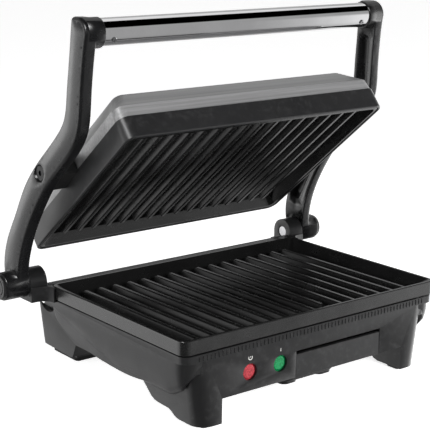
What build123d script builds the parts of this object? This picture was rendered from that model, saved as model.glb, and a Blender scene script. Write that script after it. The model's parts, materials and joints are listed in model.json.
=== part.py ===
"""Panini press: a ribbed base plate, a floating ribbed lid on two curved arms, and a drip tray.

Design frame, in millimetres: X to the right, Y to the back, Z up. The front edge of the lower
plate's rim lies at Y = 0, and the top of that rim at Z = 0. save() moves every piece to the row
frame, whose origin is on the table under the middle of the base. The press is drawn half open.
"""
from build123d import *
import math
import os

os.makedirs("parts", exist_ok=True)

# ---------------------------------------------------------------- driving dimensions
PLATE_WIDTH = 290.0
PLATE_DEPTH = 205.0
RIM_HEIGHT = 81.0
BASE_DEPTH = 266.0
WALL = 2.5

# motion
HINGE_Y = 220.0
HINGE_Z = 2.0
ARM_OPENING = 52.6
LID_OPENING = 38.7
CLOSED_GAP = 1.0
PIVOT_CLOSED_Y = 102.5
PIVOT_CLOSED_Z = 30.0

# base housing
HOUSING_TOP = -14.0
HOUSING_BOTTOM = -57.0
LEG_BOTTOM = -79.0
HOUSING_FRONT = 1.0
HOUSING_BACK = 256.0
HOUSING_TOP_WIDTH = 270.0
HOUSING_FOOT_WIDTH = 254.0
HOUSING_CORNER = 14.0
BAND_WIDTH = 287.0
BAND_BOTTOM = -20.5
BAND_BACK = 216.0
BAND_CORNER = 8.0
CHEEK_FOOT = -56.0
CHEEK_FOOT_WIDTH = 276.0
KEEL = [
    (217, -14), (207, -29), (192, -40), (172, -46.5), (150, -51), (117, -54), (90, -54.5),
    (56, -50.5), (26, -42.5), (0, -29), (-14, -14),
]
PLATE_MID_Y = PLATE_DEPTH / 2
DECK_FRONT = 206.0
DECK_BACK = 214.0
DECK_TOP = -0.6
CRADLE_FRONT = 233.0
CRADLE_FLOOR = -34.0
KNUCKLE_INNER = 146.6
KNUCKLE_OUTER = 164.3
EAR_OUTER = 163.8
EAR_BOTTOM = -14.5
SCOOP_RADIUS = 15.0
DECK_SCREW_X = 142.3
DECK_SCREW_Y = 209.8
LUG_PLACES = [(118, 84), (118, 150), (60, 247)]
REAR_STUB_BOTTOM = -77.0

# plates
RIM_SKIRT = 12.0
PLATE_CORNER = 8.0
BOWL_MARGIN = 5.5
PAN_FLOOR = 11.0
PAN_THICK = 4.0
PLATE_BOSSES = [(x, y) for x in (-90, 90) for y in (50, 155)]
RIB_COUNT = 16
RIB_PITCH = 15.9
RIB_HEIGHT = 5.5
RIB_FOOT = 9.0
RIB_CREST = 4.0

# lid, in its own closed attitude
LID_WIDTH = 289.0
LID_RIM_HEIGHT = 20.0
LID_BAND_TOP = 31.0
LID_HEIGHT = 50.0
LID_CHAMFER = 15.0
LID_CORNER = 10.0
LID_BASE = CLOSED_GAP
LID_MID_Y = PLATE_MID_Y

# arms and handle
ARM_INNER = 156.0
ARM_OUTER = 167.0
ARM_SPLAY = 2.2
BARREL_INNER = 164.6
BARREL_OUTER = 187.5
BARREL_RADIUS = 13.0
HINGE_PIN_RADIUS = 6.0
PIVOT_PIN_RADIUS = 5.0
PIVOT_SEAT = 169.0
BRACKET_OUTER = 159.6
RUNNING_GAP = 0.05
HANDLE_Y = 110.5
HANDLE_Z = 235.8
HANDLE_RADIUS = 11.5
HANDLE_WALL = 1.5
HANDLE_HALF = 147.5
SLEEVE_RADIUS = 12.8
SCREW_TURN = 60.0
SCREW_X = HANDLE_HALF - 9

# drip tray
TRAY_LEFT = -24.5
TRAY_RIGHT = 75.0
TRAY_FRONT_TOP = -36.2
TRAY_SLOT_TOP = -33.0
TRAY_DEPTH = 118.0
TRAY_GAP = 0.4

# lamps
LAMP_Z = -40.3
RED_X = -75.0
GREEN_X = -42.0
LENS_RADIUS = 6.6

# lid fixings
BRACKET_SCREW_Y = (92.5, 112.5)
BRACKET_SCREW_Z = 25.5
POST_X = 136.5
POST_Y = (30, 175)

# cord gland
GLAND_X = 84.0
GLAND_Z = -48.4

TO_ROW = Pos(0, -BASE_DEPTH / 2, RIM_HEIGHT)


# ---------------------------------------------------------------- helpers
def save(name, *shapes):
    """Write one node: every solid of the shapes, moved to the row frame."""
    solids = [TO_ROW * solid for shape in shapes for solid in shape.solids()]
    node = solids[0] if len(solids) == 1 else Compound(children=solids)
    export_step(node, f"parts/{name}.step")


def slab(width, depth, y_mid, z_low, z_high, radius, x_mid=0.0):
    """A rounded rectangular block between two heights."""
    outline = Pos(x_mid, y_mid, z_low) * RectangleRounded(width, depth, radius)
    return extrude(outline, z_high - z_low)


def tapered(low, high):
    """A loft between two rounded rectangles, each (width, depth, y_mid, z, radius)."""
    sections = []
    for width, depth, y_mid, height, radius in (low, high):
        sections.append(Pos(0, y_mid, height) * RectangleRounded(width, depth, radius))
    return loft(sections)


def block(x_low, x_high, y_low, y_high, z_low, z_high):
    """A plain box given by its limits."""
    middle = Pos((x_low + x_high) / 2, (y_low + y_high) / 2, (z_low + z_high) / 2)
    return middle * Box(x_high - x_low, y_high - y_low, z_high - z_low)


def side_prism(outline, x_low, x_high):
    """Extrude a closed outline, drawn as (Y, Z), along X."""
    return extrude(Plane.YZ.offset(x_low) * make_face(outline), x_high - x_low)


def front_prism(points, y_low, y_high):
    """Extrude a closed polygon, drawn as (X, Z), along Y."""
    face = make_face(Polyline(*[(x, 0, z) for x, z in points], close=True))
    return extrude(Pos(0, y_low, 0) * face, y_high - y_low, dir=(0, 1, 0))


def x_rod(radius, x_low, x_high, y, z):
    """A cylinder along X."""
    return Pos((x_low + x_high) / 2, y, z) * Rot(0, 90, 0) * Cylinder(radius, x_high - x_low)


def y_rod(radius, x, y_low, y_high, z):
    """A cylinder along Y."""
    return Pos(x, (y_low + y_high) / 2, z) * Rot(90, 0, 0) * Cylinder(radius, y_high - y_low)


def z_rod(radius, x, y, z_low, z_high):
    """A cylinder along Z."""
    return Pos(x, y, (z_low + z_high) / 2) * Cylinder(radius, z_high - z_low)


def side_slot(y1, z1, y2, z2, width, x_low, x_high):
    """A round-ended slot in a side face, between two centres given as (Y, Z)."""
    length = math.dist((y1, z1), (y2, z2))
    angle = math.degrees(math.atan2(z2 - z1, y2 - y1))
    flat = Pos((y1 + y2) / 2, (z1 + z2) / 2) * Rot(0, 0, angle) * SlotCenterToCenter(length, width)
    return extrude(Plane.YZ.offset(x_low) * flat, x_high - x_low)


def both_sides(shape):
    """The right-hand shape and its mirror image on the left."""
    return [shape, mirror(shape, about=Plane.YZ)]


def swing(shape, y, z, angle):
    """Turn a shape about an axis along X through (y, z); positive angles open the press."""
    return Pos(0, y, z) * Rot(-angle, 0, 0) * Pos(0, -y, -z) * shape


def pivot_at(opening):
    """Where the lid's pivot stands when the arms are opened by an angle."""
    turn = math.radians(opening)
    reach = PIVOT_CLOSED_Y - HINGE_Y
    rise = PIVOT_CLOSED_Z - HINGE_Z
    y = HINGE_Y + reach * math.cos(turn) + rise * math.sin(turn)
    z = HINGE_Z - reach * math.sin(turn) + rise * math.cos(turn)
    return y, z


PIVOT_Y, PIVOT_Z = pivot_at(ARM_OPENING)


def lid_pose(shape):
    """Carry a lid piece from its closed attitude to the half-open one."""
    tilted = swing(shape, PIVOT_CLOSED_Y, PIVOT_CLOSED_Z, LID_OPENING)
    return Pos(0, PIVOT_Y - PIVOT_CLOSED_Y, PIVOT_Z - PIVOT_CLOSED_Z) * tilted


def screw(radius, length, head_radius, head_height):
    """A cross-head screw along -Z, its head's top at the origin."""
    head = z_rod(head_radius, 0, 0, -head_height, 0)
    head = chamfer(head.edges().group_by(Axis.Z)[-1], head_height * 0.35)
    body = head + z_rod(radius, 0, 0, -length, -head_height / 2)
    for angle in (0, 90):
        body -= Rot(0, 0, angle) * Box(head_radius * 1.2, head_radius * 0.28, head_height)
    return body


def tube_loop(points, corner, radius):
    """A round rod swept along a path with rounded corners."""
    path = FilletPolyline(*points, radius=corner)
    return sweep(Plane(origin=path @ 0, z_dir=path % 0) * Circle(radius), path=path)


# ---------------------------------------------------------------- base
def housing_outer(inset, top, bottom):
    """The drafted body of the base between two heights, shrunk by an inset on every side."""
    spread = HOUSING_TOP - LEG_BOTTOM
    sections = []
    for height in (bottom, top):
        down = (HOUSING_TOP - height) / spread
        width = HOUSING_TOP_WIDTH + (HOUSING_FOOT_WIDTH - HOUSING_TOP_WIDTH) * down
        front = HOUSING_FRONT + 1.5 * down
        back = HOUSING_BACK + 2.0 * down
        size = (width - 2 * inset, back - front - 2 * inset)
        radius = max(HOUSING_CORNER - inset, 3.0)
        sections.append(Pos(0, (front + back) / 2, height) * RectangleRounded(*size, radius))
    return loft(sections)


def cheeks(inset):
    """The swollen side panels under the band, bounded below by a long boat-shaped keel."""
    swollen = tapered(
        (CHEEK_FOOT_WIDTH - 2 * inset, 211 - 2 * inset, 108.5, CHEEK_FOOT, 20 - inset),
        (BAND_WIDTH - 1 - 2 * inset, 213 - 2 * inset, 108.5, HOUSING_TOP, 10 - inset),
    )
    middle = KEEL[5][0]
    shrink = 1 - 0.01 * inset
    keel = [(middle + (y - middle) * shrink, z + inset) for y, z in KEEL]
    profile = Curve() + [Spline(*keel), Line(keel[-1], keel[0])]
    return swollen & side_prism(profile, -200, 200)


def legs():
    """Two stepped front legs and two plain rear legs, as a cutter for the drafted body."""
    front = Polyline(
        (-5, HOUSING_BOTTOM), (80, HOUSING_BOTTOM), (69, -69.5), (65, -71.6), (60, -72.4),
        (45, -73), (41, -74.6), (37, -77.6), (32, LEG_BOTTOM), (-5, LEG_BOTTOM), close=True,
    )
    rear = Polyline(
        (188, HOUSING_BOTTOM), (275, HOUSING_BOTTOM), (275, -70.5), (200, -72.6), (197, -71.5),
        close=True,
    )
    return both_sides(side_prism(front, 104, 140)) + both_sides(side_prism(rear, 88, 140))


def hinge_bracket():
    """Right-hand ear of the base: a beam behind the plate's corner with a round knuckle on it."""
    plan = make_face(Polyline(
        (143, 195), (147.2, 195), (148.2, 200), (151, 204), (156, 206), (EAR_OUTER, 206.2),
        (EAR_OUTER, CRADLE_FRONT), (136, CRADLE_FRONT), (136, DECK_FRONT), (143, DECK_FRONT),
        close=True,
    ))
    ear = extrude(Pos(0, 0, EAR_BOTTOM) * plan, DECK_TOP - EAR_BOTTOM)
    ear -= slab(PLATE_WIDTH + 0.8, PLATE_DEPTH + 0.8, PLATE_MID_Y, HOUSING_TOP, 5, PLATE_CORNER)
    ear -= block(130, KNUCKLE_INNER, DECK_BACK, 240, -6, 10)
    knuckle = x_rod(BARREL_RADIUS, KNUCKLE_INNER, KNUCKLE_OUTER, HINGE_Y, HINGE_Z)
    foot_front, foot_back = HINGE_Y - 11, HINGE_Y + BARREL_RADIUS
    knuckle += block(KNUCKLE_INNER, KNUCKLE_OUTER, foot_front, foot_back, -9, HINGE_Z)
    knuckle = fillet(knuckle.edges().filter_by(GeomType.CIRCLE).group_by(Axis.X)[-1], 1.2)
    return ear + knuckle


def cradle():
    """The room behind the deck that the lid needs when it is opened out flat."""
    half = [(125, CRADLE_FLOOR), (131, -29.5), (136, -24), (145, -12), (190, -12), (190, 30)]
    return front_prism(half + [(-x, z) for x, z in reversed(half)], CRADLE_FRONT, 300)


def base_housing():
    """The moulded lower casing: walls, legs, rear deck, lid cradle and hinge brackets."""
    band_depth = BAND_BACK - HOUSING_FRONT
    band = slab(
        BAND_WIDTH, band_depth, HOUSING_FRONT + band_depth / 2, BAND_BOTTOM, HOUSING_TOP,
        BAND_CORNER,
    )
    body = housing_outer(0, HOUSING_TOP, HOUSING_BOTTOM) + cheeks(0) + band
    lower = housing_outer(0, HOUSING_BOTTOM + 1, LEG_BOTTOM)
    for leg in legs():
        body += lower & leg
    for stub in both_sides(block(93, 118, 206, 250, REAR_STUB_BOTTOM, -65)):
        body += stub
    deck = side_prism(
        Polyline(
            (DECK_FRONT, -20), (DECK_FRONT, DECK_TOP), (DECK_BACK, DECK_TOP), (226, -7),
            (232.5, -20), close=True,
        ),
        -BAND_WIDTH / 2, BAND_WIDTH / 2,
    )
    body += deck
    hollow = housing_outer(WALL, HOUSING_TOP - 12, HOUSING_BOTTOM - 0.01)
    hollow = hollow & block(-200, 200, -10, CRADLE_FRONT - 2.5, -80, 10)
    rear_hollow = housing_outer(WALL, CRADLE_FLOOR - 2.5, HOUSING_BOTTOM - 0.01)
    seat = slab(272.5, 187.5, PLATE_MID_Y, -17.8, 5, 10)
    opening = slab(258, 184, PLATE_MID_Y, -40, -10, 10)
    pocket = block(-120, 120, 150, CRADLE_FRONT - 3, -40, -17)
    cheek_hollow = cheeks(WALL) & block(-200, 200, 20, 205, -60, BAND_BOTTOM + 1)
    body = body - cradle() - hollow - rear_hollow - seat - opening - pocket - cheek_hollow
    for bracket in both_sides(hinge_bracket()):
        body += bracket
    for lug in screw_lugs():
        body += lug & housing_outer(0.5, HOUSING_TOP, HOUSING_BOTTOM)
    scoop_wall = block(124, 136, 212, 248, -37, -14) - cradle()
    for wall in both_sides(scoop_wall & housing_outer(0.3, HOUSING_TOP, HOUSING_BOTTOM)):
        body += wall
    pin_hole = x_rod(HINGE_PIN_RADIUS + RUNNING_GAP, 140, KNUCKLE_OUTER + 1, HINGE_Y, HINGE_Z)
    scoop = x_rod(SCOOP_RADIUS, 127, 142, 231, -20)
    screw_hole = z_rod(1.25, DECK_SCREW_X, DECK_SCREW_Y, -7, 5)
    for cut in both_sides(pin_hole) + both_sides(scoop) + both_sides(screw_hole):
        body -= cut
    body -= lamp_holes()
    body -= block(TRAY_LEFT, TRAY_RIGHT, -5, 8, HOUSING_BOTTOM - 1, TRAY_SLOT_TOP)
    body -= y_rod(5.5, GLAND_X, 250, 275, GLAND_Z)
    return body


def screw_lugs():
    """Lugs inside the walls that take the screws of the bottom cover."""
    lugs = []
    for x, y in LUG_PLACES:
        reach_x = 14 if y < 200 else 6
        reach_y = 6 if y < 200 else 14
        lug = block(x - 6, x + reach_x, y - 6, y + reach_y, -54.4, -42)
        lug -= z_rod(1.7, x, y, -60, -43)
        lugs += both_sides(lug)
    return lugs


def lamp_holes():
    """Stepped round holes for the two indicator lenses."""
    holes = []
    for x in (RED_X, GREEN_X):
        holes.append(y_rod(LENS_RADIUS + 0.8, x, -5, 12, LAMP_Z))
    return holes


def lens(x):
    """A shallow domed lens with a retaining flange behind the wall."""
    barrel = y_rod(LENS_RADIUS, x, 3.2, 8.4, LAMP_Z)
    barrel = fillet(barrel.edges().group_by(Axis.Y)[0], 1.6)
    return barrel + y_rod(LENS_RADIUS + 2.2, x, 4.7, 6.4, LAMP_Z)


def lamp_body(x):
    """A neon indicator lamp with two leads, standing behind its lens."""
    glass = y_rod(3.0, x, 9.0, 22.0, LAMP_Z)
    glass = fillet(glass.edges().group_by(Axis.Y)[0], 2.0)
    for side in (-1.2, 1.2):
        glass += y_rod(0.4, x + side, 21.0, 34.0, LAMP_Z)
    return glass


def lamp_bracket():
    """A clip that holds both lamps behind the front wall."""
    left, right = RED_X - 10, GREEN_X + 10
    plate = block(left, right, 15, 18, LAMP_Z - 7, LAMP_Z + 7)
    plate += block(left, right, 15, 24, LAMP_Z - 9, LAMP_Z - 7)
    for x in (RED_X, GREEN_X):
        plate -= y_rod(3.2, x, 10, 25, LAMP_Z)
    return plate


def bottom_cover():
    """The flat metal floor of the base, with vent slots and a shallow boss at the front."""
    floor = housing_outer(WALL + 0.6, -54.6, HOUSING_BOTTOM + 0.02)
    front_trim = block(-140, 140, -5, 9.2, -60, -50)
    floor -= front_trim
    boss = slab(66, 62, 40, -65, -56.5, 12)
    boss = fillet(boss.edges().group_by(Axis.Z)[0], 6)
    for x in (-20, 20):
        boss += slab(18, 18, 22, -66.5, -64, 6, x_mid=x)
    floor += boss
    for row in range(4):
        for column in range(-3, 4):
            slot = Pos(column * 24, 120 + row * 28, -56) * SlotOverall(16, 4)
            floor -= extrude(Pos(0, 0, -2) * slot, 6)
    for x, y in LUG_PLACES:
        for sign in (-1, 1):
            floor -= z_rod(2.0, sign * x, y, -60, -50)
    return floor


def cover_screws():
    """Six screws that hold the bottom cover, heads down."""
    screws = []
    for x, y in LUG_PLACES:
        for sign in (-1, 1):
            upside_down = Pos(sign * x, y, -58.4) * Rot(180, 0, 0) * screw(1.5, 12, 3.2, 1.3)
            screws.append(upside_down)
    return screws


def rubber_feet():
    """Four soft pads under the legs."""
    feet = []
    places = ((113, 14.5, 16, 16, LEG_BOTTOM), (105.5, 228, 25, 44, REAR_STUB_BOTTOM))
    for x, y, width, depth, top in places:
        pad = slab(width, depth, y, -RIM_HEIGHT, top, 4, x_mid=x)
        pad = fillet(pad.edges().group_by(Axis.Z)[0], 1.0)
        feet += both_sides(pad)
    return feet


def cord_gland():
    """The bushing in the rear wall where a mains lead would enter."""
    body = y_rod(5.4, GLAND_X, 252, 260, GLAND_Z)
    collar = y_rod(7.5, GLAND_X, 257.4, BASE_DEPTH, GLAND_Z)
    collar = chamfer(collar.edges().group_by(Axis.Y)[-1], 1.5)
    body += collar
    body += y_rod(6.1, GLAND_X, 252, 254.2, GLAND_Z)
    return body - y_rod(3.4, GLAND_X, 250, 270, GLAND_Z)


def ribs(y_low, y_high, z_foot, direction):
    """A row of parallel ribs that run front to back."""
    rows = []
    for index in range(RIB_COUNT):
        x = (index - (RIB_COUNT - 1) / 2) * RIB_PITCH
        foot = z_foot - direction * 0.3
        crest = z_foot + direction * RIB_HEIGHT
        rib = front_prism(
            [(x - RIB_FOOT / 2, foot), (x + RIB_FOOT / 2, foot),
             (x + RIB_CREST / 2, crest), (x - RIB_CREST / 2, crest)],
            y_low, y_high,
        )
        rib = fillet(rib.edges().filter_by(Axis.Y).group_by(Axis.Z)[-1 if direction > 0 else 0], 1.4)
        rows.append(rib)
    return rows


def lower_plate():
    """Cast lower plate: skirted rim, recessed pan with ribs, gutter and a drain hole."""
    rim = slab(PLATE_WIDTH, PLATE_DEPTH, PLATE_MID_Y, -RIM_SKIRT, 0, PLATE_CORNER)
    rim = fillet(rim.edges().group_by(Axis.Z)[-1], 0.9)
    under = slab(
        PLATE_WIDTH - 5, PLATE_DEPTH - 5, PLATE_MID_Y, -RIM_SKIRT - 1, -3, PLATE_CORNER - 2.5
    )
    pan_low = -PAN_FLOOR - PAN_THICK
    pan = tapered(
        (268, 183, PLATE_MID_Y, pan_low, 9), (PLATE_WIDTH - 3, PLATE_DEPTH - 3, PLATE_MID_Y, -2, 7)
    )
    bowl = tapered(
        (260, 175, PLATE_MID_Y, -PAN_FLOOR, 8),
        (PLATE_WIDTH - BOWL_MARGIN, PLATE_DEPTH - BOWL_MARGIN, PLATE_MID_Y, 0.01, 6),
    )
    plate = (rim - under) + pan - bowl
    plate += ribs(15.5, PLATE_DEPTH - 20, -PAN_FLOOR, 1)
    plate -= z_rod(4, 25, 20, -40, 0)
    for x, y in PLATE_BOSSES:
        plate += z_rod(5, x, y, pan_low - 7, pan_low + 1)
        plate -= z_rod(1.9, x, y, pan_low - 8, pan_low + 0.5)
    return plate


def plate_screws(z_seat):
    """Four screws through the reflector into the plate's bosses."""
    screws = []
    for x, y in PLATE_BOSSES:
        screws.append(Pos(x, y, z_seat) * Rot(180, 0, 0) * screw(1.8, 9, 3.6, 1.6))
    return screws


def heater(z):
    """A sheathed heating rod bent into a wide loop, with two cold ends."""
    points = [(-24, 180, z), (-24, 165, z), (-112, 165, z), (-112, 36, z),
              (112, 36, z), (112, 165, z), (24, 165, z), (24, 180, z)]
    return tube_loop(points, 9, 3.2)


def reflector(z_low, z_high):
    """A shallow sheet-metal pan that turns the heat back to the plate."""
    pan = slab(248, 166, PLATE_MID_Y, z_low, z_high, 12)
    pan -= slab(246.4, 164.4, PLATE_MID_Y, z_low + 0.8, z_high + 1, 11.2)
    return pan


def lower_reflector():
    """Reflector under the lower plate, with screw holes and a drain gap."""
    pan = reflector(-23.2, -17.5)
    for x, y in PLATE_BOSSES:
        pan -= z_rod(2.1, x, y, -30, -15)
    return pan - block(13, 37, 8, 32, -30, -10) - block(-34, 34, 172, 190, -21, -10)


def thermostat(x, y, z_low, z_high):
    """A disc thermostat with two flat terminals."""
    body = z_rod(8, x, y, z_low, z_high)
    return body + block(x - 14, x + 14, y - 3, y + 3, z_low + 1, z_low + 1.8)


def thermal_fuse():
    """A cartridge fuse in its sleeve, clamped under the reflector."""
    return y_rod(2.4, -60, 90, 118, -26.2) + y_rod(0.6, -60, 80, 128, -26.2)


def terminal_block():
    """Three-way terminal block for the mains lead and the inner wiring."""
    body = block(62, 98, 196, 214, -54.4, -41)
    for way in (-1, 0, 1):
        body -= y_rod(2.4, 80 + way * 11, 190, 220, -48)
        body -= z_rod(2.0, 80 + way * 11, 205, -47, -40)
    return body


def deck_screws():
    """Two small screws in the rear deck, one beside each rear corner of the plate."""
    return both_sides(Pos(DECK_SCREW_X, DECK_SCREW_Y, DECK_TOP + 1.0) * screw(1.2, 7, 1.9, 1.0))


# ---------------------------------------------------------------- drip tray
def drip_tray():
    """A removable grease tray: its front panel closes the slot in the base."""
    left, right = TRAY_LEFT + TRAY_GAP, TRAY_RIGHT - TRAY_GAP
    front = block(left, right, 1.9, 5.2, -57.6, TRAY_FRONT_TOP)
    front = fillet(front.edges().filter_by(Axis.X).group_by(Axis.Y)[0], 0.6)
    middle = (left + right) / 2
    width = right - left - 4
    pan = slab(width, TRAY_DEPTH, 5 + TRAY_DEPTH / 2, -53.6, TRAY_FRONT_TOP - 2, 4, x_mid=middle)
    pan -= slab(width - 3.6, TRAY_DEPTH - 3.6, 5 + TRAY_DEPTH / 2, -52, 0, 3, x_mid=middle)
    return front + pan


# ---------------------------------------------------------------- arms and handle
def arm_outline():
    """Side outline of an arm in the half-open attitude, from the hinge up to the handle."""
    front = Spline(
        (207.4, 1), (208, 14), (204.5, 31), (181, 76), (155, 107.5), (126, 133), (109.5, 155),
        (105.5, 181), (102.5, 210), (98, 234.8),
    )
    nose = ThreePointArc((98, 234.8), (101.9, 244.6), (111, 248.4))
    top = Line((111, 248.4), (118.5, 248.4))
    corner = ThreePointArc((118.5, 248.4), (121.2, 247.2), (122.3, 244.3))
    back = Spline(
        (122.3, 244.3), (125.5, 214), (129, 185), (133, 163.5), (143.5, 149.8), (172, 124.5),
        (199.5, 95), (216, 67), (229, 45), (236, 19), (232.5, 1),
    )
    foot = Line((232.5, 1), (207.4, 1))
    return Curve() + [front, nose, top, corner, back, foot]


def splayed(shape):
    """Lean a shape outwards towards the hinge, about the inner face of the arm at the handle."""
    return Pos(ARM_INNER, 0, HANDLE_Z) * Rot(0, -ARM_SPLAY, 0) * Pos(-ARM_INNER, 0, -HANDLE_Z) * shape


def arm():
    """Right-hand arm: curved blade, hinge barrel, handle sleeve and spigot."""
    blade = side_prism(arm_outline(), ARM_INNER, ARM_OUTER)
    outer_edges = blade.edges().group_by(Axis.X)[-1].filter_by(lambda edge: edge.center().Z > 2)
    blade = fillet(outer_edges, 3.2)
    inner_edges = blade.edges().group_by(Axis.X)[0].filter_by(lambda edge: edge.center().Z > 2)
    blade = fillet(inner_edges, 0.9)
    blade -= side_slot(118, 171, 114, 210.5, 12, ARM_INNER - 1, ARM_INNER + 5)
    blade -= side_slot(194, 82, 217.5, 42, 13, ARM_INNER - 1, ARM_INNER + 5)
    blade = splayed(blade) - x_rod(BARREL_RADIUS + 5, 140, BARREL_INNER, HINGE_Y, HINGE_Z)
    barrel = x_rod(BARREL_RADIUS, BARREL_INNER, BARREL_OUTER, HINGE_Y, HINGE_Z)
    barrel = fillet(barrel.edges().group_by(Axis.X)[-1], 2.0)
    sleeve = x_rod(SLEEVE_RADIUS, HANDLE_HALF, ARM_OUTER - 4, HANDLE_Y, HANDLE_Z - 0.3)
    sleeve = fillet(sleeve.edges().group_by(Axis.X)[0], 0.8)
    spigot_radius = HANDLE_RADIUS - HANDLE_WALL - 0.1
    spigot = x_rod(spigot_radius, HANDLE_HALF - 24, HANDLE_HALF + 2, HANDLE_Y, HANDLE_Z)
    body = blade + barrel + sleeve + spigot
    body -= x_rod(HINGE_PIN_RADIUS + RUNNING_GAP, 150, BARREL_OUTER + 1, HINGE_Y, HINGE_Z)
    body -= x_rod(PIVOT_PIN_RADIUS + RUNNING_GAP, 150, 185, PIVOT_Y, PIVOT_Z)
    body -= x_rod(7.6, PIVOT_SEAT, 185, PIVOT_Y, PIVOT_Z)
    body -= handle_screw_hole()
    return body


def on_handle(shape):
    """Stand a piece drawn along -Z on the lower front of the handle tube, near its right end."""
    outward = Pos(0, 0, HANDLE_RADIUS) * shape
    return Pos(SCREW_X, HANDLE_Y, HANDLE_Z) * Rot(90 + SCREW_TURN / 2, 0, 0) * outward


def handle_screw_hole():
    """The hole that a handle screw cuts through the tube and the spigot."""
    return on_handle(z_rod(1.3, 0, 0, -9, 3))


def handle_tube():
    """The polished tube across the two arms."""
    tube = x_rod(HANDLE_RADIUS, -HANDLE_HALF + 0.1, HANDLE_HALF - 0.1, HANDLE_Y, HANDLE_Z)
    tube -= x_rod(HANDLE_RADIUS - HANDLE_WALL, -160, 160, HANDLE_Y, HANDLE_Z)
    for hole in both_sides(handle_screw_hole()):
        tube -= hole
    return tube


def handle_screws():
    """Two small screws that hold the tube on its spigots."""
    piece = on_handle(Pos(0, 0, 1.05) * screw(1.2, 8, 2.3, 1.0))
    return both_sides(piece)


def hinge_pin():
    """Right-hand hinge pin, from the knuckle of the base into the barrel of the arm."""
    pin = x_rod(HINGE_PIN_RADIUS, KNUCKLE_INNER + 0.6, BARREL_OUTER - 0.6, HINGE_Y, HINGE_Z)
    return chamfer(pin.edges().filter_by(GeomType.CIRCLE), 0.8)


def hinge_cap():
    """Right-hand end cap of the hinge barrel, with concentric rings and a deep centre."""
    cap = x_rod(11.6, BARREL_OUTER + 0.1, BARREL_OUTER + 2.4, HINGE_Y, HINGE_Z)
    cap = fillet(cap.edges().group_by(Axis.X)[-1], 0.8)
    groove = x_rod(8.6, BARREL_OUTER + 1.5, 200, HINGE_Y, HINGE_Z)
    groove -= x_rod(7.4, BARREL_OUTER, 200, HINGE_Y, HINGE_Z)
    return cap - groove - x_rod(4.4, BARREL_OUTER + 0.9, 200, HINGE_Y, HINGE_Z)


def pivot_pin():
    """Right-hand lid pivot: a headed pin through the arm into the lid bracket."""
    pin = x_rod(PIVOT_PIN_RADIUS, 146.0, PIVOT_SEAT + 0.3, PIVOT_Y, PIVOT_Z)
    head = x_rod(6.9, PIVOT_SEAT + 0.2, PIVOT_SEAT + 2.0, PIVOT_Y, PIVOT_Z)
    head = chamfer(head.edges().group_by(Axis.X)[-1], 0.5)
    hexagon = Plane.YZ.offset(PIVOT_SEAT + 0.9) * (Pos(PIVOT_Y, PIVOT_Z) * RegularPolygon(2.6, 6))
    return pin + head - extrude(hexagon, 5)


# ---------------------------------------------------------------- lid, drawn closed
def lid_shell(inset):
    """The lid cover's outer form: an upright band, then a wide chamfer up to a flat top."""
    band_drop = 1.0
    foot = LID_BASE + LID_RIM_HEIGHT
    width = LID_WIDTH - 1.6 - 2 * inset
    depth = PLATE_DEPTH - 1.6 - 2 * inset
    corner = LID_CORNER - inset
    crown = LID_CHAMFER
    low = inset * 0.55
    band = tapered(
        (width, depth, LID_MID_Y, foot - 0.02 * inset, corner),
        (width - 2 * band_drop, depth - 2 * band_drop, LID_MID_Y, LID_BASE + LID_BAND_TOP - low,
         corner - band_drop),
    )
    slope = tapered(
        (width - 2 * band_drop, depth - 2 * band_drop, LID_MID_Y, LID_BASE + LID_BAND_TOP - low,
         corner - band_drop),
        (width - 2 * band_drop - 2 * crown, depth - 2 * band_drop - 2 * crown, LID_MID_Y,
         LID_BASE + LID_HEIGHT - inset, corner - band_drop - 1),
    )
    return band + slope


def lid_cover():
    """Brushed-metal lid cover, a thin shell open below."""
    outer = lid_shell(0)
    outer = fillet(outer.edges().group_by(Axis.Z)[-1], 4.0)
    shell = outer - lid_shell(1.6)
    foot = LID_BASE + LID_RIM_HEIGHT
    for y in POST_Y:
        post = z_rod(3.2, POST_X, y, foot, foot + 8)
        post += block(POST_X, 142.6, y - 2, y + 2, foot, foot + 8)
        post -= z_rod(1.4, POST_X, y, foot - 1, foot + 7)
        shell += both_sides(post)
    holes = bracket_screw_holes(1.5, 150)
    for hole in holes:
        shell -= both_sides(hole)
    return shell


def lid_rim():
    """Dark lower frame of the lid that holds the plate."""
    top = LID_BASE + LID_RIM_HEIGHT
    ring = slab(LID_WIDTH, PLATE_DEPTH, LID_MID_Y, LID_BASE, top, LID_CORNER)
    ring = fillet(ring.edges().group_by(Axis.Z)[0], 1.2)
    ring -= slab(LID_WIDTH - 5, PLATE_DEPTH - 5, LID_MID_Y, 0, top - WALL, LID_CORNER - 2.5)
    for y in POST_Y:
        ring -= both_sides(z_rod(1.4, POST_X, y, 10, top + 1))
    return ring - slab(LID_WIDTH - 24, PLATE_DEPTH - 24, LID_MID_Y, 0, top + 1, 10)


def upper_plate():
    """Cast upper plate, ribs downwards."""
    low = LID_BASE + 0.6
    flange = slab(LID_WIDTH - 5.8, PLATE_DEPTH - 5.8, LID_MID_Y, low, low + 3.2, LID_CORNER - 3)
    flange = fillet(flange.edges().group_by(Axis.Z)[0], 1.2)
    floor = low + 9.0
    pan = slab(281, 197, LID_MID_Y, low + 2, floor + PAN_THICK, 7)
    bowl = tapered(
        (277, 193, LID_MID_Y, low - 0.01, 6),
        (267, 183, LID_MID_Y, floor, 5),
    )
    plate = flange + pan - bowl
    return plate + ribs(11.5, PLATE_DEPTH - 20, floor, -1)


def upper_reflector():
    """Reflector above the upper plate, open downwards."""
    pan = slab(248, 166, LID_MID_Y, 23, 28, 12)
    pan -= slab(246.4, 164.4, LID_MID_Y, 20, 27.2, 11.2)
    return pan - block(-34, 34, 172, 190, 20, 26)


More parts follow.
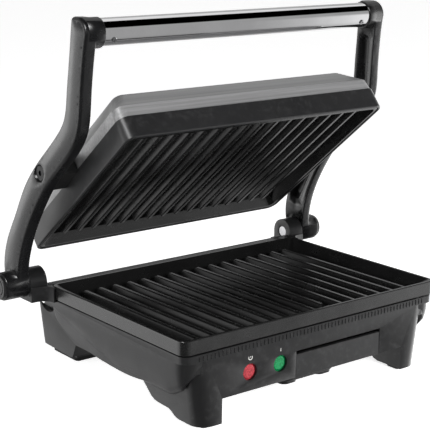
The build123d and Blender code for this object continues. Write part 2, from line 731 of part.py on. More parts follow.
def lid_bracket():
    """Right-hand pivot block on the side of the lid."""
    outline = Polyline((86, 19), (119, 19), (119, 34), (111, 41), (94, 41), (86, 34), close=True)
    body = side_prism(outline, LID_WIDTH / 2 + 0.2, BRACKET_OUTER)
    body = fillet(body.edges().filter_by(Axis.X), 3.0)
    body = fillet(body.edges().group_by(Axis.X)[-1], 1.2)
    body -= bracket_screw_holes(1.45, 150)
    return body - x_rod(PIVOT_PIN_RADIUS + RUNNING_GAP, 140, 165, PIVOT_CLOSED_Y, PIVOT_CLOSED_Z)


def bracket_screw_holes(radius, x_high):
    """Holes for the two screws of the right-hand pivot block."""
    return [x_rod(radius, 138, x_high, y, BRACKET_SCREW_Z) for y in BRACKET_SCREW_Y]


def bracket_screws():
    """Two screws from inside the lid into each pivot block."""
    screws = []
    for y in BRACKET_SCREW_Y:
        piece = Pos(139.8, y, BRACKET_SCREW_Z) * Rot(0, -90, 0) * screw(1.4, 8, 2.6, 1.4)
        screws += both_sides(piece)
    return screws


def lid_cover_screws():
    """Four screws that join the lid cover to the rim, heads on the rim's inner ledge."""
    screws = []
    seat = LID_BASE + LID_RIM_HEIGHT - WALL
    for y in POST_Y:
        screws += both_sides(Pos(POST_X, y, seat - 1.2) * Rot(180, 0, 0) * screw(1.3, 8, 2.4, 1.2))
    return screws


# ---------------------------------------------------------------- write every node
def write_base():
    save("base_housing", base_housing())
    save("base_bottom_cover", bottom_cover())
    save("cover_screws", *cover_screws())
    save("rubber_feet", *rubber_feet())
    save("cord_gland", cord_gland())
    save("lower_plate", lower_plate())
    save("lower_plate_screws", *plate_screws(-24.9))
    save("lower_heater", heater(-PAN_FLOOR - PAN_THICK - 3.4))
    save("lower_reflector", lower_reflector())
    save("lower_thermostat", thermostat(40, 110, -30.4, -23.4))
    save("thermal_fuse", thermal_fuse())
    save("terminal_block", terminal_block())
    save("red_lens", lens(RED_X))
    save("green_lens", lens(GREEN_X))
    save("red_lamp", lamp_body(RED_X))
    save("green_lamp", lamp_body(GREEN_X))
    save("lamp_bracket", lamp_bracket())
    save("deck_screws", *deck_screws())
    save("drip_tray", drip_tray())


def write_arms():
    right_arm, left_arm = both_sides(arm())
    save("right_arm", right_arm)
    save("left_arm", left_arm)
    save("hinge_end_caps", *both_sides(hinge_cap()))
    save("handle_tube", handle_tube())
    save("handle_screws", *handle_screws())
    right_hinge_pin, left_hinge_pin = both_sides(hinge_pin())
    save("right_hinge_pin", right_hinge_pin)
    save("left_hinge_pin", left_hinge_pin)
    right_pivot_pin, left_pivot_pin = both_sides(pivot_pin())
    save("right_pivot_pin", right_pivot_pin)
    save("left_pivot_pin", left_pivot_pin)


def write_lid():
    save("lid_cover", lid_pose(lid_cover()))
    save("lid_rim", lid_pose(lid_rim()))
    save("upper_plate", lid_pose(upper_plate()))
    save("upper_heater", lid_pose(heater(18.4)))
    save("upper_reflector", lid_pose(upper_reflector()))
    save("upper_thermostat", lid_pose(thermostat(40, 110, 28.4, 35.4)))
    right_bracket, left_bracket = both_sides(lid_bracket())
    save("right_lid_bracket", lid_pose(right_bracket))
    save("left_lid_bracket", lid_pose(left_bracket))
    save("bracket_screws", *[lid_pose(piece) for piece in bracket_screws()])
    save("lid_cover_screws", *[lid_pose(piece) for piece in lid_cover_screws()])


write_base()
write_arms()
write_lid()
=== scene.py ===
"""Looks of the panini press: a half-open contact grill on a pale studio floor."""
import bpy
import bmesh
import json
import math
from functools import partial
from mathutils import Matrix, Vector
from mathutils.kdtree import KDTree


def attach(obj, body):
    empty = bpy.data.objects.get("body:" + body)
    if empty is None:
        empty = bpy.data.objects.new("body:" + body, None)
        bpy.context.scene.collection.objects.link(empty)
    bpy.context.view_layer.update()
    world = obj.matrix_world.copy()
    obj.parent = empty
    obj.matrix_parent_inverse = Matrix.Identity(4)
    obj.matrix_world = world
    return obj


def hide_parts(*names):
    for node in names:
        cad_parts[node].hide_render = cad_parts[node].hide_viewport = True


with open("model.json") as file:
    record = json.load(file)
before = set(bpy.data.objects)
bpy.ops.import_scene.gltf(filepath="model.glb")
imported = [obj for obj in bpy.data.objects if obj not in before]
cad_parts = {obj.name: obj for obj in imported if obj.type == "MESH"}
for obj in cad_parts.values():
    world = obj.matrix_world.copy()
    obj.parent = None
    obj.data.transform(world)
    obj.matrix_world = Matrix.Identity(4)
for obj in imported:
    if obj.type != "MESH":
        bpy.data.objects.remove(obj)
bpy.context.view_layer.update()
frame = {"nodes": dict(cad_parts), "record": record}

MM = 0.001
NODES = frame["nodes"]
RECORD = frame["record"]
SLOT_OF = {part["node"]: part["material_slot"] for part in RECORD["subparts"]}
BODY_OF = {
    node: body for body, nodes in RECORD["behaviour"]["bodies"].items() for node in nodes
}

# A CAD face's corners that lie closer together than this are one.
WELD = 0.002 * MM
SOFT_EDGE = 0.7 * MM

# The crown on the arms' outer faces, which lean in by ARM_LEAN.
ARM_LEAN = math.radians(2.2)
ARM_OUTER_X = 160.0 * MM
CROWN_GRID = 2.4 * MM
CROWN_REACH = 10.5 * MM
CROWN_HEIGHT = 1.7 * MM

# Front wall: lamps, their marks and the band under the plate.
RED_X = -75.0 * MM
GREEN_X = -42.0 * MM
LAMP_Z = 40.7 * MM
FRONT_WALL_Y = -131.65 * MM
MARK_RISE = 12.6 * MM
MARK_RADIUS = 1.9 * MM
MARK_STROKE = 0.62 * MM
BAND_FRONT_Y = -132.0 * MM
BAND_LOW = 60.5 * MM
BAND_HIGH = 67.0 * MM
HATCH_REACH = 128.0 * MM
HATCH_PITCH = 4.0 * MM
HATCH_HALF = 0.55 * MM

# The swelling of a side panel: its foot line from the rear, round the corner, to the tip.
SWELL_X = 143.4 * MM
SWELL_REAR_Y = 73.0 * MM
SWELL_FRONT_Y = -131.6 * MM
SWELL_CORNER = 13.0 * MM
SWELL_TIP_X = 112.0 * MM
SWELL_TOP = 60.6 * MM
SWELL_DEPTH = 34.6 * MM
SWELL_LEAST = 0.4 * MM
SWELL_ROOT = 9.0 * MM
SWELL_ROWS = 12
SIDE_STEPS = 46
TURN_STEPS = 10
FULL_DEPTH_FROM = 0.42
UPTURN_SHARE = 0.235
FADE_SHARE = 0.20

# Studio: the camera, and directions of the room's bright sides.
CAMERA_LENS = 105.78
CAMERA_SENSOR = 36.0
CAMERA_PLACE = (-0.7025, -0.8956, 0.4107)
CAMERA_LOOK = (0.59475, 0.76957, -0.23246)
FLOOR_REACH = 14.0
RIGHT_OF_ROOM = (0.79, -0.61, 0.0)
LEFT_GLOW = (-0.62, 0.77, -0.15)


# ---------------------------------------------------------------- material helpers
def set_range(node, start, end, low, high):
    """Set a Map Range node to carry start..end over to low..high."""
    keys = ("From Min", "From Max", "To Min", "To Max")
    for key, number in zip(keys, (start, end, low, high)):
        node.inputs[key].default_value = number


class Shader:
    """A Principled material with short calls for the nodes used here."""

    def __init__(self, name, **settings):
        self.material = bpy.data.materials.new(name)
        self.material.use_nodes = True
        self.tree = self.material.node_tree
        self.surface = self.tree.nodes["Principled BSDF"]
        for key, value in settings.items():
            self.surface.inputs[key.replace("_", " ")].default_value = value
        self.place = self.tree.nodes.new("ShaderNodeTexCoord").outputs["Object"]

    def link(self, source, target):
        """Join two sockets."""
        self.tree.links.new(source, target)

    def stretched(self, scale):
        """Object coordinates, scaled along each axis."""
        mapping = self.tree.nodes.new("ShaderNodeMapping")
        mapping.inputs["Scale"].default_value = scale
        self.link(self.place, mapping.inputs["Vector"])
        return mapping.outputs["Vector"]

    def noise(self, scale, detail=3.0, roughness=0.5, vector=None):
        """Fractal noise; scale is in cells per metre."""
        node = self.tree.nodes.new("ShaderNodeTexNoise")
        node.inputs["Scale"].default_value = scale
        node.inputs["Detail"].default_value = detail
        node.inputs["Roughness"].default_value = roughness
        self.link(vector or self.place, node.inputs["Vector"])
        return node.outputs["Fac"]

    def cells(self, scale):
        """Distance to the nearest point of a cellular pattern."""
        node = self.tree.nodes.new("ShaderNodeTexVoronoi")
        node.inputs["Scale"].default_value = scale
        self.link(self.place, node.inputs["Vector"])
        return node.outputs["Distance"]

    def ramp(self, value, low, high, start=0.0, end=1.0):
        """Map a value between start and end onto two numbers or two colours."""
        if isinstance(low, float):
            node = self.tree.nodes.new("ShaderNodeMapRange")
            set_range(node, start, end, low, high)
            self.link(value, node.inputs["Value"])
            return node.outputs["Result"]
        node = self.tree.nodes.new("ShaderNodeValToRGB")
        for stop, position, colour in zip(node.color_ramp.elements, (start, end), (low, high)):
            stop.position = position
            stop.color = (*colour, 1.0)
        self.link(value, node.inputs["Fac"])
        return node.outputs["Color"]

    def blend(self, factor, first, second):
        """Mix two colours, each a socket or three numbers."""
        node = self.tree.nodes.new("ShaderNodeMix")
        node.data_type = "RGBA"
        if isinstance(factor, float):
            node.inputs["Factor"].default_value = factor
        else:
            self.link(factor, node.inputs["Factor"])
        for socket, value in zip((node.inputs[6], node.inputs[7]), (first, second)):
            if isinstance(value, tuple):
                socket.default_value = (*value, 1.0)
            else:
                self.link(value, socket)
        return node.outputs[2]

    def edges(self):
        """A mask of the convex edges."""
        geometry = self.tree.nodes.new("ShaderNodeNewGeometry")
        return self.ramp(geometry.outputs["Pointiness"], 0.0, 1.0, 0.52, 0.6)

    def product(self, first, second):
        """Two values multiplied."""
        node = self.tree.nodes.new("ShaderNodeMath")
        node.operation = "MULTIPLY"
        self.link(first, node.inputs[0])
        self.link(second, node.inputs[1])
        return node.outputs[0]

    def bump(self, height, strength, distance, below=None):
        """A bump on top of an earlier one."""
        node = self.tree.nodes.new("ShaderNodeBump")
        node.inputs["Strength"].default_value = strength
        node.inputs["Distance"].default_value = distance
        self.link(height, node.inputs["Height"])
        if below is not None:
            self.link(below, node.inputs["Normal"])
        return node.outputs["Normal"]

    def finish(self, colour, roughness=None, normal=None):
        """Join what was worked out to the surface and give back the material."""
        ends = (("Base Color", colour), ("Roughness", roughness), ("Normal", normal))
        for key, socket in ends:
            if socket is not None:
                self.link(socket, self.surface.inputs[key])
        return self.material


def moulded_plastic(name, dark, light, rough, specular=0.5):
    """Spark-eroded satin plastic: fine grain, faint clouding and paler worn edges."""
    s = Shader(name, Specular_IOR_Level=specular)
    clouds = s.noise(9.0, 4.0, 0.6)
    colour = s.ramp(clouds, dark, light, 0.3, 0.7)
    worn = tuple(min(1.0, 1.55 * c + 0.012) for c in light)
    scuffs = s.ramp(s.noise(160.0, 4.0, 0.7), 0.0, 0.6, 0.5, 0.72)
    colour = s.blend(s.product(s.edges(), scuffs), colour, worn)
    normal = s.bump(s.noise(1400.0, 2.0, 0.6), 0.35, 0.00004)
    normal = s.bump(s.noise(70.0, 2.0), 0.05, 0.0004, normal)
    roughness = s.ramp(s.noise(40.0, 5.0, 0.65), rough - 0.05, rough + 0.07, 0.3, 0.7)
    return s.finish(colour, roughness, normal)


def brushed_metal(name, dark, light, rough):
    """Lacquered brushed metal with hairlines along X."""
    s = Shader(name, Metallic=0.3)
    lines = s.noise(1.0, 5.0, 0.7, s.stretched((6.0, 420.0, 420.0)))
    coarse = s.noise(1.0, 3.0, 0.6, s.stretched((1.5, 105.0, 105.0)))
    colour = s.ramp(lines, dark, light, 0.25, 0.75)
    colour = s.blend(0.35, colour, s.ramp(coarse, dark, light, 0.3, 0.7))
    roughness = s.ramp(lines, rough - 0.05, rough + 0.08, 0.25, 0.75)
    normal = s.bump(lines, 0.12, 0.00005)
    normal = s.bump(s.noise(900.0, 2.0), 0.06, 0.00003, normal)
    return s.finish(colour, roughness, normal)


def non_stick(name, dark, light):
    """Sprayed black non-stick coating: orange peel, fine sparkle and polished high spots."""
    s = Shader(name, Specular_IOR_Level=0.85)
    speck = s.ramp(s.noise(3200.0, 2.0, 0.8), 0.0, 1.0, 0.68, 0.78)
    colour = s.ramp(s.noise(14.0, 4.0, 0.6), dark, light, 0.3, 0.7)
    colour = s.blend(speck, colour, (0.05, 0.05, 0.052))
    roughness = s.ramp(s.noise(30.0, 5.0, 0.7), 0.18, 0.30, 0.3, 0.7)
    normal = s.bump(s.noise(520.0, 2.0, 0.5), 0.10, 0.00008)
    normal = s.bump(s.noise(2600.0, 1.0), 0.08, 0.00002, normal)
    return s.finish(colour, roughness, normal)


def polished_chrome(name):
    """Bright chrome with faint polishing marks and smudges."""
    s = Shader(name, Metallic=1.0)
    marks = s.noise(1.0, 5.0, 0.7, s.stretched((10.0, 700.0, 700.0)))
    smudge = s.noise(26.0, 5.0, 0.65)
    colour = s.ramp(smudge, (0.80, 0.80, 0.81), (0.88, 0.88, 0.89), 0.3, 0.7)
    roughness = s.ramp(smudge, 0.02, 0.055, 0.35, 0.75)
    return s.finish(colour, roughness, s.bump(marks, 0.015, 0.00001))


def tinted_lens(name, deep, bright):
    """Translucent indicator lens with a faceted inner face."""
    s = Shader(name, Roughness=0.16, Coat_Weight=0.6, Coat_Roughness=0.08, IOR=1.49)
    facets = s.cells(620.0)
    colour = s.ramp(facets, bright, deep, 0.15, 0.75)
    colour = s.blend(s.ramp(s.noise(90.0, 3.0), 0.0, 0.5, 0.4, 0.7), colour, bright)
    s.link(colour, s.surface.inputs["Emission Color"])
    s.surface.inputs["Emission Strength"].default_value = 0.18
    return s.finish(colour, None, s.bump(facets, 0.25, 0.0002))


def rubbery(name, dark, light):
    """Matte rubber with a dusty, pitted skin."""
    s = Shader(name, Specular_IOR_Level=0.25)
    dust = s.noise(120.0, 6.0, 0.7)
    colour = s.ramp(dust, dark, light, 0.35, 0.75)
    roughness = s.ramp(dust, 0.72, 0.92, 0.3, 0.7)
    return s.finish(colour, roughness, s.bump(s.noise(1500.0, 3.0), 0.4, 0.00008))


def plain_metal(name, dark, light, rough):
    """Zinc-plated or drawn metal with a mottled finish."""
    s = Shader(name, Metallic=1.0)
    mottle = s.noise(220.0, 5.0, 0.65)
    colour = s.ramp(mottle, dark, light, 0.3, 0.7)
    roughness = s.ramp(s.noise(90.0, 4.0), rough - 0.06, rough + 0.1, 0.3, 0.7)
    return s.finish(colour, roughness, s.bump(mottle, 0.12, 0.00004))


def clear_glass(name):
    """Thin clear glass with a warm tint."""
    s = Shader(name, Roughness=0.05, IOR=1.5, Transmission_Weight=0.85)
    tint = s.ramp(s.noise(60.0, 3.0), (0.85, 0.7, 0.55), (0.95, 0.88, 0.8))
    return s.finish(tint, None, s.bump(s.noise(300.0), 0.05, 0.00005))


def studio_floor(name):
    """Seamless white paper."""
    s = Shader(name, Roughness=0.8, Specular_IOR_Level=0.1, Emission_Strength=0.84)
    fibre = s.noise(300.0, 4.0, 0.6)
    colour = s.ramp(fibre, (0.92, 0.92, 0.92), (0.95, 0.95, 0.95))
    s.link(colour, s.surface.inputs["Emission Color"])
    return s.finish(colour)


def grey(value, blue=None):
    """A neutral colour, with its own blue where it is a little cool or warm."""
    return (value, value, value if blue is None else blue)


def make_materials():
    """One material for each slot of the record."""
    looks = {
        "housing_plastic": (moulded_plastic, grey(0.008, 0.0083), grey(0.012, 0.0124), 0.33, 0.36),
        "cover_plastic": (moulded_plastic, grey(0.007), grey(0.010), 0.42),
        "steel": (plain_metal, grey(0.40, 0.41), grey(0.58, 0.59), 0.32),
        "black_steel": (plain_metal, grey(0.012), grey(0.035, 0.036), 0.35),
        "rubber": (rubbery, grey(0.008), grey(0.016)),
        "nonstick": (non_stick, grey(0.004), grey(0.008)),
        "heater_sheath": (plain_metal, (0.10, 0.09, 0.08), (0.24, 0.22, 0.20), 0.5),
        "reflector": (plain_metal, grey(0.62), grey(0.74), 0.28),
        "bakelite": (moulded_plastic, grey(0.46, 0.44), grey(0.56, 0.54), 0.55),
        "red_lens": (tinted_lens, (0.16, 0.012, 0.018), (0.36, 0.035, 0.045)),
        "green_lens": (tinted_lens, (0.0015, 0.085, 0.028), (0.004, 0.20, 0.062)),
        "lamp_glass": (clear_glass,),
        "tray_plastic": (moulded_plastic, grey(0.011, 0.0114), grey(0.016, 0.0165), 0.33, 0.42),
        "arm_plastic": (moulded_plastic, grey(0.004, 0.0043), grey(0.007, 0.0074), 0.27),
        "chrome": (polished_chrome,),
        "lid_metal": (brushed_metal, grey(0.17, 0.172), grey(0.36, 0.363), 0.34),
        "rim_plastic": (moulded_plastic, grey(0.012, 0.0125), grey(0.017, 0.0175), 0.36),
    }
    return {slot: make(slot, *values) for slot, (make, *values) in looks.items()}


MATERIALS = make_materials()


# ---------------------------------------------------------------- mesh helpers
def add_piece(name, mesh, slot, body, *replaced):
    """Put a mesh in the scene as a piece of a body, in place of any CAD nodes it stands for."""
    piece = bpy.data.objects.new(name, mesh)
    bpy.context.scene.collection.objects.link(piece)
    mesh.materials.clear()
    mesh.materials.append(MATERIALS[slot])
    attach(piece, body)
    if replaced:
        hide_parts(*replaced)
    return piece


def apply_modifiers(piece):
    """Bake a piece's modifiers into its mesh."""
    graph = bpy.context.evaluated_depsgraph_get()
    mesh = bpy.data.meshes.new_from_object(piece.evaluated_get(graph))
    piece.modifiers.clear()
    piece.data = mesh


def welded(node):
    """A CAD node's mesh, copied for editing, with its faces joined at their corners."""
    bm = bmesh.new()
    bm.from_mesh(NODES[node].data)
    bmesh.ops.remove_doubles(bm, verts=bm.verts, dist=WELD)
    return bm


def closed_mesh(bm, name):
    """A new mesh from finished geometry, with all faces turned outwards."""
    bmesh.ops.recalc_face_normals(bm, faces=bm.faces)
    mesh = bpy.data.meshes.new(name)
    bm.to_mesh(mesh)
    bm.free()
    return mesh


def smooth_by_angle(mesh, degrees):
    """Smooth shading, with hard edges only where faces meet sharply."""
    mesh.shade_smooth()
    mesh.set_sharp_from_angle(angle=math.radians(degrees))


def softened(node):
    """A copy of a CAD node with small rounded edges, standing in for it."""
    mesh = NODES[node].data.copy()
    bm = welded(node)
    bmesh.ops.dissolve_limit(
        bm, angle_limit=math.radians(0.6), verts=bm.verts, edges=bm.edges, delimit={"NORMAL"}
    )
    bm.to_mesh(mesh)
    bm.free()
    piece = add_piece(node + "_skin", mesh, SLOT_OF[node], BODY_OF[node], node)
    bevel = piece.modifiers.new("round edges", "BEVEL")
    bevel.width = SOFT_EDGE
    bevel.segments = 3
    bevel.limit_method = "ANGLE"
    bevel.angle_limit = math.radians(32.0)
    bevel.use_clamp_overlap = True
    bevel.miter_outer = "MITER_ARC"
    apply_modifiers(piece)
    smooth_by_angle(piece.data, 40)


def swell_path():
    """The swell's foot line: points, outward directions and the length run so far."""
    front_y = SWELL_FRONT_Y + SWELL_CORNER
    inner_x = SWELL_X - SWELL_CORNER
    side_length = SWELL_REAR_Y - front_y
    quarter = math.pi / 2
    path = []
    for step in range(SIDE_STEPS + 1):
        run = side_length * step / SIDE_STEPS
        path.append((SWELL_X, SWELL_REAR_Y - run, 1.0, 0.0, run))
    for step in range(1, TURN_STEPS + 1):
        turn = quarter * step / TURN_STEPS
        nx, ny = math.cos(turn), -math.sin(turn)
        x, y = inner_x + SWELL_CORNER * nx, front_y + SWELL_CORNER * ny
        path.append((x, y, nx, ny, side_length + SWELL_CORNER * turn))
    corner_end = side_length + SWELL_CORNER * quarter
    for step in range(1, TURN_STEPS + 1):
        past = (inner_x - SWELL_TIP_X) * step / TURN_STEPS
        path.append((inner_x - past, SWELL_FRONT_Y, 0.0, -1.0, corner_end + past))
    return path


def swell_depth(share):
    """How far the swell hangs down, by share of its length: a long keel and an upturned end."""
    keel = min(1.0, (share / FULL_DEPTH_FROM) ** 0.62)
    upturn = min(1.0, ((1.0 - share) / UPTURN_SHARE) ** 0.8)
    return max(SWELL_DEPTH * keel * upturn, SWELL_LEAST)


def swell_push(share, down):
    """How far its skin stands out, by share of its length and of the way down."""
    fade = min(1.0, (1.0 - share) / FADE_SHARE)
    belly = 0.5 * math.sin(math.pi * min(down * 1.05, 1.0)) - 0.2 * down
    tuck = 5.4 * down * down + 3.2 * max(0.0, down - 0.86) / 0.14
    return ((belly - tuck) * (0.3 + 0.7 * fade) - 0.9 * (1.0 - fade)) * MM


def side_swell(name, side):
    """The boat-shaped swelling of a side panel, running round the front corner under the band."""
    bm = bmesh.new()
    path = swell_path()
    whole = path[-1][-1]
    outer, inner = [], []
    for x, y, nx, ny, run in path:
        share = run / whole
        outer.append([])
        inner.append([])
        for row in range(SWELL_ROWS + 1):
            down = row / SWELL_ROWS
            z = SWELL_TOP - swell_depth(share) * down
            for skin, push in ((outer, swell_push(share, down)), (inner, -SWELL_ROOT)):
                skin[-1].append(bm.verts.new((side * (x + nx * push), y + ny * push, z)))
    for skin in (outer, inner):
        for first, second in zip(skin, skin[1:]):
            for k in range(SWELL_ROWS):
                bm.faces.new((first[k], first[k + 1], second[k + 1], second[k]))
    for k in (0, SWELL_ROWS):
        for index in range(len(path) - 1):
            after = index + 1
            bm.faces.new((outer[index][k], outer[after][k], inner[after][k], inner[index][k]))
    for out, back in ((outer[0], inner[0]), (outer[-1], inner[-1])):
        for k in range(SWELL_ROWS):
            bm.faces.new((out[k], out[k + 1], back[k + 1], back[k]))
    mesh = closed_mesh(bm, "side_swell")
    add_piece(name, mesh, "housing_plastic", "base")
    smooth_by_angle(mesh, 50)


def crowned_arm(node, side):
    """An arm whose flat outer face is swollen into a soft crown."""
    mesh = NODES[node].data.copy()
    bm = welded(node)
    outward = Vector((side * math.cos(ARM_LEAN), 0, math.sin(ARM_LEAN)))

    def is_outer(face):
        """Whether a face belongs to the arm's flat outer side."""
        far_out = side * face.calc_center_median().x > ARM_OUTER_X
        return far_out and face.normal.dot(outward) > 0.9995

    outer = [face for face in bm.faces if is_outer(face)]
    edges = {edge for face in outer for edge in face.edges}
    shore = []
    for edge in edges:
        if all(is_outer(face) for face in edge.link_faces):
            continue
        first, last = (vert.co.copy() for vert in edge.verts)
        steps = max(1, int((last - first).length / (0.8 * MM)))
        shore += [first.lerp(last, step / steps) for step in range(steps + 1)]
    tree = KDTree(len(shore))
    for index, point in enumerate(shore):
        tree.insert(point, index)
    tree.balance()
    low = Vector([min(point[axis] for point in shore) for axis in range(3)])
    high = Vector([max(point[axis] for point in shore) for axis in range(3)])
    for axis in (1, 2):
        place = low[axis] + CROWN_GRID
        while place < high[axis]:
            patch = {face for face in bm.faces if is_outer(face)}
            geometry = {vert for face in patch for vert in face.verts}
            geometry |= {edge for face in patch for edge in face.edges}
            normal = Vector((0, 0, 0))
            normal[axis] = 1
            bmesh.ops.bisect_plane(
                bm,
                geom=list(geometry | patch),
                plane_co=normal * place,
                plane_no=normal,
                dist=0.01 * MM,
            )
            place += CROWN_GRID
    inside = {vert for face in bm.faces if is_outer(face) for vert in face.verts}
    for vert in inside:
        away = tree.find(vert.co)[2]
        reach = min(away / CROWN_REACH, 1.0)
        vert.co += outward * CROWN_HEIGHT * (1 - (1 - reach) ** 2)
    bmesh.ops.triangulate(bm, faces=bm.faces)
    bm.to_mesh(mesh)
    bm.free()
    add_piece(node + "_crowned", mesh, SLOT_OF[node], BODY_OF[node], node)
    smooth_by_angle(mesh, 42)


def symbol_strip(bm, points):
    """Add a thin bent strip on the front wall, along (x, z) points."""
    front = FRONT_WALL_Y - 0.06 * MM
    back = front + 0.3 * MM
    rings = []
    for index, (x, z) in enumerate(points):
        before = Vector(points[max(index - 1, 0)])
        after = Vector(points[min(index + 1, len(points) - 1)])
        along = (after - before).normalized()
        across = Vector((-along.y, along.x)) * MARK_STROKE / 2
        corners = ((-1, front), (1, front), (-1, back), (1, back))
        rings.append(
            [bm.verts.new((x + sign * across.x, y, z + sign * across.y)) for sign, y in corners]
        )
    for a, b in zip(rings, rings[1:]):
        bm.faces.new((a[0], b[0], b[1], a[1]))
        bm.faces.new((a[2], a[3], b[3], b[2]))
        bm.faces.new((a[0], a[2], b[2], b[0]))
        bm.faces.new((a[1], b[1], b[3], a[3]))
    for first, second, third, fourth in (rings[0], rings[-1]):
        bm.faces.new((first, second, fourth, third))


def lamp_symbols():
    """A generic power mark over the red lamp and a plain bar over the green one."""
    mark_z = LAMP_Z + MARK_RISE
    ring = []
    for step in range(25):
        turn = math.radians(125 + step * 290 / 24)
        ring.append((RED_X + MARK_RADIUS * math.cos(turn), mark_z + MARK_RADIUS * math.sin(turn)))
    stroke = [(RED_X, mark_z + 0.2 * MM), (RED_X, mark_z + 2.6 * MM)]
    bar = [(GREEN_X, mark_z - 1.6 * MM), (GREEN_X, mark_z + 1.6 * MM)]
    bm = bmesh.new()
    for points in (ring, stroke, bar):
        symbol_strip(bm, points)
    add_piece("lamp_symbols", closed_mesh(bm, "lamp_symbols"), "bakelite", "base")


def band_hatching():
    """The row of fine upright ridges along the front of the band under the plate."""
    bm = bmesh.new()
    count = int(2 * HATCH_REACH / HATCH_PITCH)
    foot, head = BAND_LOW + 0.7 * MM, BAND_HIGH - 0.7 * MM
    levels = ((foot, 0.35), (foot + 0.6 * MM, 1.0), (head - 0.6 * MM, 1.0), (head, 0.35))
    for index in range(count + 1):
        x = -HATCH_REACH + index * HATCH_PITCH
        rings = []
        for z, shrink in levels:
            reach = HATCH_HALF * shrink
            outline = ((-reach, 0.0), (0.0, -reach), (reach, 0.0), (0.0, 0.3 * MM))
            rings.append([bm.verts.new((x + dx, BAND_FRONT_Y + dy, z)) for dx, dy in outline])
        for lower, upper in zip(rings, rings[1:]):
            for k in range(4):
                bm.faces.new((lower[k], lower[(k + 1) % 4], upper[(k + 1) % 4], upper[k]))
        bm.faces.new(rings[0])
        bm.faces.new(rings[-1])
    add_piece("band_hatching", closed_mesh(bm, "band_hatching"), "housing_plastic", "base")


def dress_cad_nodes():
    """Every shown CAD node gets its slot's material and smooth shading."""
    for name, node in NODES.items():
        node.data.materials.clear()
        node.data.materials.append(MATERIALS[SLOT_OF[name]])
        smooth_by_angle(node.data, 28)


# ---------------------------------------------------------------- studio
def make_camera():
    """The camera of the resting view, in front of the left corner and a little above."""
    camera = bpy.data.cameras.new("camera")
    camera.lens = CAMERA_LENS
    camera.sensor_width = CAMERA_SENSOR
    camera.clip_start = 0.05
    stand = bpy.data.objects.new("camera", camera)
    stand.location = CAMERA_PLACE
    stand.rotation_euler = Vector(CAMERA_LOOK).to_track_quat("-Z", "Y").to_euler()
    bpy.context.scene.collection.objects.link(stand)
    bpy.context.scene.camera = stand


def make_floor():
    """A wide sheet of white paper that polished parts don't mirror."""
    mesh = bpy.data.meshes.new("studio_floor")
    signs = ((-1, -1), (1, -1), (1, 1), (-1, 1))
    corners = [(FLOOR_REACH * x, FLOOR_REACH * y, 0) for x, y in signs]
    mesh.from_pydata(corners, [], [(0, 1, 2, 3)])
    floor = bpy.data.objects.new("studio_floor", mesh)
    mesh.materials.append(studio_floor("studio_floor"))
    floor.visible_glossy = False
    bpy.context.scene.collection.objects.link(floor)


def add_softbox(name, place, target, size, power):
    """A soft rectangular light that polished parts don't mirror."""
    light = bpy.data.lights.new(name, "AREA")
    light.shape = "RECTANGLE"
    light.size, light.size_y = size
    light.energy = power
    stand = bpy.data.objects.new(name, light)
    stand.location = place
    stand.rotation_euler = (Vector(target) - Vector(place)).to_track_quat("-Z", "Y").to_euler()
    stand.visible_glossy = False
    bpy.context.scene.collection.objects.link(stand)
    return stand


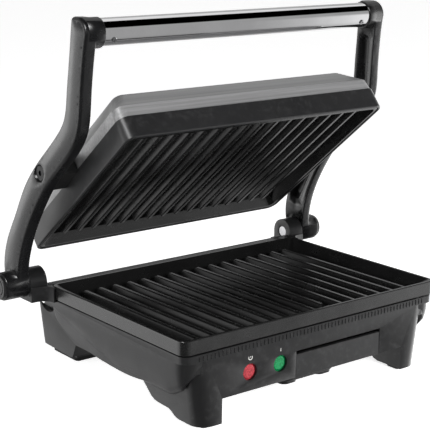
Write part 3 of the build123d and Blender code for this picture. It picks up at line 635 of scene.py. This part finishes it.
def make_world():
    """A room with glowing side walls, a dark ceiling in front and a bright strip behind."""
    world = bpy.data.worlds.new("studio")
    bpy.context.scene.world = world
    world.use_nodes = True
    tree = world.node_tree
    direction = tree.nodes.new("ShaderNodeTexCoord").outputs["Generated"]

    def along(vector):
        """How far the view direction points along a vector."""
        node = tree.nodes.new("ShaderNodeVectorMath")
        node.operation = "DOT_PRODUCT"
        node.inputs[1].default_value = vector
        tree.links.new(direction, node.inputs[0])
        return node.outputs["Value"]

    def fade(value, start, end, low, high):
        """A soft step from low to high while the value goes from start to end."""
        node = tree.nodes.new("ShaderNodeMapRange")
        node.interpolation_type = "SMOOTHSTEP"
        set_range(node, start, end, low, high)
        tree.links.new(value, node.inputs["Value"])
        return node.outputs["Result"]

    def combined(operation, first, second):
        """Two values added or multiplied."""
        node = tree.nodes.new("ShaderNodeMath")
        node.operation = operation
        tree.links.new(first, node.inputs[0])
        tree.links.new(second, node.inputs[1])
        return node.outputs[0]

    times, plus = partial(combined, "MULTIPLY"), partial(combined, "ADD")
    height = along((0.0, 0.0, 1.0))
    depth = along((0.0, 1.0, 0.0))
    rightwards = along((1.0, 0.0, 0.0))
    ceiling = fade(height, 0.43, 0.50, 1.0, 0.0)
    in_front = times(fade(along(RIGHT_OF_ROOM), 0.25, 0.85, 0.02, 0.36), ceiling)
    in_front = times(in_front, fade(depth, 0.05, 0.12, 1.0, 0.0))
    right_glow = times(fade(rightwards, 0.62, 0.90, 0.0, 2.8), fade(height, 0.0, 0.25, 1.0, 0.0))
    strip = times(fade(height, 0.58, 0.66, 0.0, 0.75), fade(rightwards, 0.30, 0.50, 0.0, 1.0))
    behind = plus(strip, fade(height, 0.50, 0.70, 0.48, 0.06))
    behind = times(behind, fade(depth, 0.05, 0.12, 0.0, 1.0))
    left_wall = times(fade(height, -0.30, -0.08, 0.32, 1.0), fade(height, 0.0, 0.2, 1.0, 0.0))
    left_glow = times(left_wall, fade(along(LEFT_GLOW), 0.60, 1.0, 0.0, 2.0))
    room = plus(plus(in_front, behind), plus(left_glow, right_glow))
    background = tree.nodes["Background"]
    background.inputs["Color"].default_value = (1.0, 1.0, 1.0, 1.0)
    tree.links.new(room, background.inputs["Strength"])


def make_studio():
    """Camera, room, floor and lights; the glint is seen only as a reflection."""
    make_camera()
    make_world()
    make_floor()
    add_softbox("key", (0.25, -1.7, 0.75), (0, -0.02, 0.18), (1.1, 0.6), 38.0)
    add_softbox("left_fill", (-1.7, -0.1, 0.45), (0, 0, 0.15), (0.9, 0.7), 20.0)
    glint = add_softbox("corner_glint", (-1.2, -0.45, 1.1), (-0.1, -0.1, 0.2), (0.5, 0.35), 14.0)
    glint.visible_glossy = True
    glint.visible_diffuse = False
    bpy.context.scene.view_settings.view_transform = "Standard"


dress_cad_nodes()
crowned_arm("left_arm", -1)
crowned_arm("right_arm", 1)
softened("base_housing")
side_swell("left_side_swell", -1)
side_swell("right_side_swell", 1)
lamp_symbols()
band_hatching()
make_studio()
